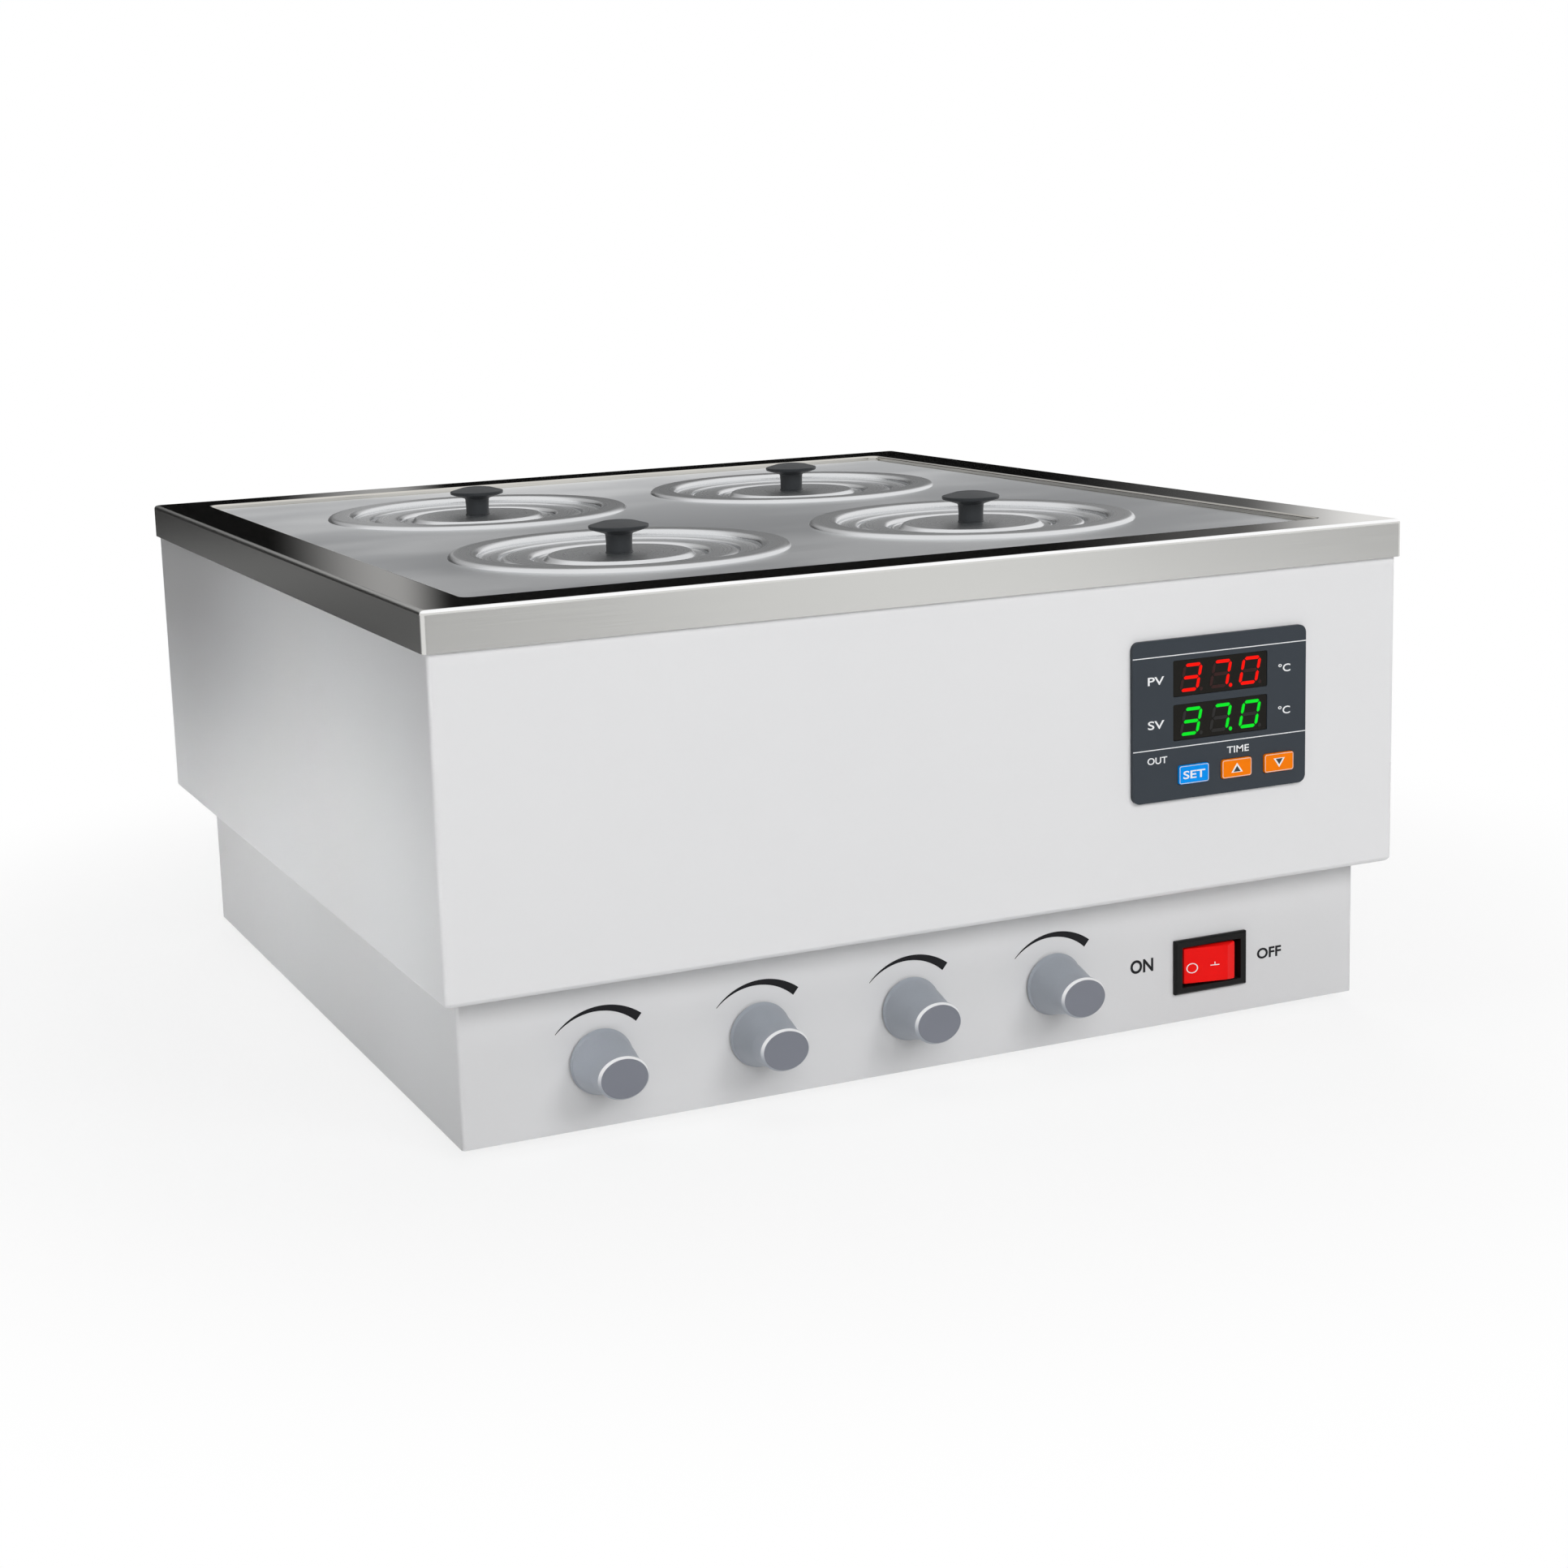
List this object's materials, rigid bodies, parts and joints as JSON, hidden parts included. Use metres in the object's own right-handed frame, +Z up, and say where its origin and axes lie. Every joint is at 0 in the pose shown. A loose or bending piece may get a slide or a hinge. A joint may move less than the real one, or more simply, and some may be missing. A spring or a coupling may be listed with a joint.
{
  "type": "stirring water bath",
  "caption": "Bench water bath with round lidded places in nested rings, speed knobs for magnetic stirring, a digital controller panel and a red rocker switch.",
  "frame": {"origin": "on the surface that the feet stand on, below the centre of the overall box", "axes": "+Z up, -Y the front with the knobs and the panel, +X the operator's right"},
  "size_m": [0.38, 0.4066, 0.1974],
  "materials": {
    "painted_steel": "smooth off-white powder coat, satin",
    "plated_steel": "zinc plated",
    "foot_rubber": "moulded black rubber",
    "stainless_rim": "brushed stainless sheet",
    "stainless_sheet": "polished stainless sheet",
    "ring_steel": "spun and polished stainless sheet",
    "seal_rubber": "grey silicone",
    "jacket_foam": "open-cell foam",
    "heater_sheath": "dull heat-tinted sheath",
    "gland_brass": "turned brass",
    "motor_steel": "plated steel",
    "control_body": "moulded resin",
    "board_green": "solder-masked board with its parts",
    "slate_panel": "printed slate film, satin",
    "display_black": "smoked display block",
    "black_plastic": "moulded black plastic",
    "knob_charcoal": "charcoal phenolic, satin",
    "knob_grey": "blue-grey moulded plastic, satin",
    "rocker_red": "red moulded plastic",
    "key_blue": "blue key with a pale outline",
    "key_orange": "orange key with a pale outline"
  },
  "bodies": {
    "root": {"upper_casing": "painted_steel", "base_casing": "painted_steel", "bottom_plate": "plated_steel", "rubber_feet": "foot_rubber", "casing_screws": "plated_steel", "tank": "stainless_rim", "rim_gasket": "seal_rubber", "insulation_jacket": "jacket_foam", "heating_element": "heater_sheath", "tank_glands": "gland_brass", "temperature_probe": "stainless_sheet", "perforated_shelf": "stainless_sheet", "stirrer_motors": "motor_steel", "motor_screws": "plated_steel", "speed_potentiometers": "control_body", "potentiometer_nuts": "plated_steel", "driver_board": "board_green", "panel_fascia": "slate_panel", "led_displays": "display_black", "controller_case": "black_plastic", "rocker_housing": "black_plastic", "power_inlet": "black_plastic"},
    "cover_plate": {"cover_plate": "stainless_sheet"},
    "outer_ring_front_left": {"outer_ring_front_left": "ring_steel"},
    "middle_ring_front_left": {"middle_ring_front_left": "ring_steel"},
    "inner_ring_front_left": {"inner_ring_front_left": "ring_steel"},
    "lid_front_left": {"lid_front_left": "ring_steel", "lid_knob_front_left": "knob_charcoal"},
    "outer_ring_front_right": {"outer_ring_front_right": "ring_steel"},
    "middle_ring_front_right": {"middle_ring_front_right": "ring_steel"},
    "inner_ring_front_right": {"inner_ring_front_right": "ring_steel"},
    "lid_front_right": {"lid_front_right": "ring_steel", "lid_knob_front_right": "knob_charcoal"},
    "outer_ring_back_left": {"outer_ring_back_left": "ring_steel"},
    "middle_ring_back_left": {"middle_ring_back_left": "ring_steel"},
    "inner_ring_back_left": {"inner_ring_back_left": "ring_steel"},
    "lid_back_left": {"lid_back_left": "ring_steel", "lid_knob_back_left": "knob_charcoal"},
    "outer_ring_back_right": {"outer_ring_back_right": "ring_steel"},
    "middle_ring_back_right": {"middle_ring_back_right": "ring_steel"},
    "inner_ring_back_right": {"inner_ring_back_right": "ring_steel"},
    "lid_back_right": {"lid_back_right": "ring_steel", "lid_knob_back_right": "knob_charcoal"},
    "speed_knob_1": {"speed_knob_1": "knob_grey", "dial_shaft_1": "plated_steel"},
    "speed_knob_2": {"speed_knob_2": "knob_grey", "dial_shaft_2": "plated_steel"},
    "speed_knob_3": {"speed_knob_3": "knob_grey", "dial_shaft_3": "plated_steel"},
    "speed_knob_4": {"speed_knob_4": "knob_grey", "dial_shaft_4": "plated_steel"},
    "power_rocker": {"power_rocker": "rocker_red"},
    "set_key": {"set_key": "key_blue"},
    "up_key": {"up_key": "key_orange"},
    "down_key": {"down_key": "key_orange"},
    "stirring_rotor_front_left": {"stirring_rotor_front_left": "motor_steel"},
    "stirring_rotor_front_right": {"stirring_rotor_front_right": "motor_steel"},
    "stirring_rotor_back_left": {"stirring_rotor_back_left": "motor_steel"},
    "stirring_rotor_back_right": {"stirring_rotor_back_right": "motor_steel"}
  },
  "joints": [
    {"name": "cover_lift", "type": "slide", "parent": "root", "child": "cover_plate", "axis": [0, 0, 1], "range_m": [0, 0.15]},
    {"name": "outer_ring_lift_front_left", "type": "slide", "parent": "cover_plate", "child": "outer_ring_front_left", "axis": [0, 0, 1], "range_m": [0, 0.03]},
    {"name": "middle_ring_lift_front_left", "type": "slide", "parent": "outer_ring_front_left", "child": "middle_ring_front_left", "axis": [0, 0, 1], "range_m": [0, 0.03]},
    {"name": "inner_ring_lift_front_left", "type": "slide", "parent": "middle_ring_front_left", "child": "inner_ring_front_left", "axis": [0, 0, 1], "range_m": [0, 0.03]},
    {"name": "lid_lift_front_left", "type": "slide", "parent": "inner_ring_front_left", "child": "lid_front_left", "axis": [0, 0, 1], "range_m": [0, 0.08]},
    {"name": "outer_ring_lift_front_right", "type": "slide", "parent": "cover_plate", "child": "outer_ring_front_right", "axis": [0, 0, 1], "range_m": [0, 0.03]},
    {"name": "middle_ring_lift_front_right", "type": "slide", "parent": "outer_ring_front_right", "child": "middle_ring_front_right", "axis": [0, 0, 1], "range_m": [0, 0.03]},
    {"name": "inner_ring_lift_front_right", "type": "slide", "parent": "middle_ring_front_right", "child": "inner_ring_front_right", "axis": [0, 0, 1], "range_m": [0, 0.03]},
    {"name": "lid_lift_front_right", "type": "slide", "parent": "inner_ring_front_right", "child": "lid_front_right", "axis": [0, 0, 1], "range_m": [0, 0.08]},
    {"name": "outer_ring_lift_back_left", "type": "slide", "parent": "cover_plate", "child": "outer_ring_back_left", "axis": [0, 0, 1], "range_m": [0, 0.03]},
    {"name": "middle_ring_lift_back_left", "type": "slide", "parent": "outer_ring_back_left", "child": "middle_ring_back_left", "axis": [0, 0, 1], "range_m": [0, 0.03]},
    {"name": "inner_ring_lift_back_left", "type": "slide", "parent": "middle_ring_back_left", "child": "inner_ring_back_left", "axis": [0, 0, 1], "range_m": [0, 0.03]},
    {"name": "lid_lift_back_left", "type": "slide", "parent": "inner_ring_back_left", "child": "lid_back_left", "axis": [0, 0, 1], "range_m": [0, 0.08]},
    {"name": "outer_ring_lift_back_right", "type": "slide", "parent": "cover_plate", "child": "outer_ring_back_right", "axis": [0, 0, 1], "range_m": [0, 0.03]},
    {"name": "middle_ring_lift_back_right", "type": "slide", "parent": "outer_ring_back_right", "child": "middle_ring_back_right", "axis": [0, 0, 1], "range_m": [0, 0.03]},
    {"name": "inner_ring_lift_back_right", "type": "slide", "parent": "middle_ring_back_right", "child": "inner_ring_back_right", "axis": [0, 0, 1], "range_m": [0, 0.03]},
    {"name": "lid_lift_back_right", "type": "slide", "parent": "inner_ring_back_right", "child": "lid_back_right", "axis": [0, 0, 1], "range_m": [0, 0.08]},
    {"name": "speed_turn_1", "type": "hinge", "parent": "root", "child": "speed_knob_1", "pos_m": [-0.1305, -0.19175, 0.0272], "axis": [0, 1, 0], "range_deg": [0, 280]},
    {"name": "speed_turn_2", "type": "hinge", "parent": "root", "child": "speed_knob_2", "pos_m": [-0.0713, -0.19175, 0.0272], "axis": [0, 1, 0], "range_deg": [0, 280]},
    {"name": "speed_turn_3", "type": "hinge", "parent": "root", "child": "speed_knob_3", "pos_m": [-0.0121, -0.19175, 0.0272], "axis": [0, 1, 0], "range_deg": [0, 280]},
    {"name": "speed_turn_4", "type": "hinge", "parent": "root", "child": "speed_knob_4", "pos_m": [0.0471, -0.19175, 0.0272], "axis": [0, 1, 0], "range_deg": [0, 280]},
    {"name": "power_rocker_tilt", "type": "hinge", "parent": "root", "child": "power_rocker", "pos_m": [0.115, -0.17975, 0.0252], "axis": [0, 0, 1], "range_deg": [0, 20]},
    {"name": "set_key_press", "type": "slide", "parent": "root", "child": "set_key", "axis": [0, 1, 0], "range_m": [0, 0.0005], "stiffness_N_per_m": 400, "springref_m": -0.0005},
    {"name": "up_key_press", "type": "slide", "parent": "root", "child": "up_key", "axis": [0, 1, 0], "range_m": [0, 0.0005], "stiffness_N_per_m": 400, "springref_m": -0.0005},
    {"name": "down_key_press", "type": "slide", "parent": "root", "child": "down_key", "axis": [0, 1, 0], "range_m": [0, 0.0005], "stiffness_N_per_m": 400, "springref_m": -0.0005},
    {"name": "stirring_spin_front_left", "type": "hinge", "parent": "root", "child": "stirring_rotor_front_left", "pos_m": [-0.075, -0.07795, 0.0575], "axis": [0, 0, 1], "continuous": true},
    {"name": "stirring_spin_front_right", "type": "hinge", "parent": "root", "child": "stirring_rotor_front_right", "pos_m": [0.075, -0.07795, 0.0575], "axis": [0, 0, 1], "continuous": true},
    {"name": "stirring_spin_back_left", "type": "hinge", "parent": "root", "child": "stirring_rotor_back_left", "pos_m": [-0.075, 0.08465, 0.0575], "axis": [0, 0, 1], "continuous": true},
    {"name": "stirring_spin_back_right", "type": "hinge", "parent": "root", "child": "stirring_rotor_back_right", "pos_m": [0.075, 0.08465, 0.0575], "axis": [0, 0, 1], "continuous": true}
  ]
}
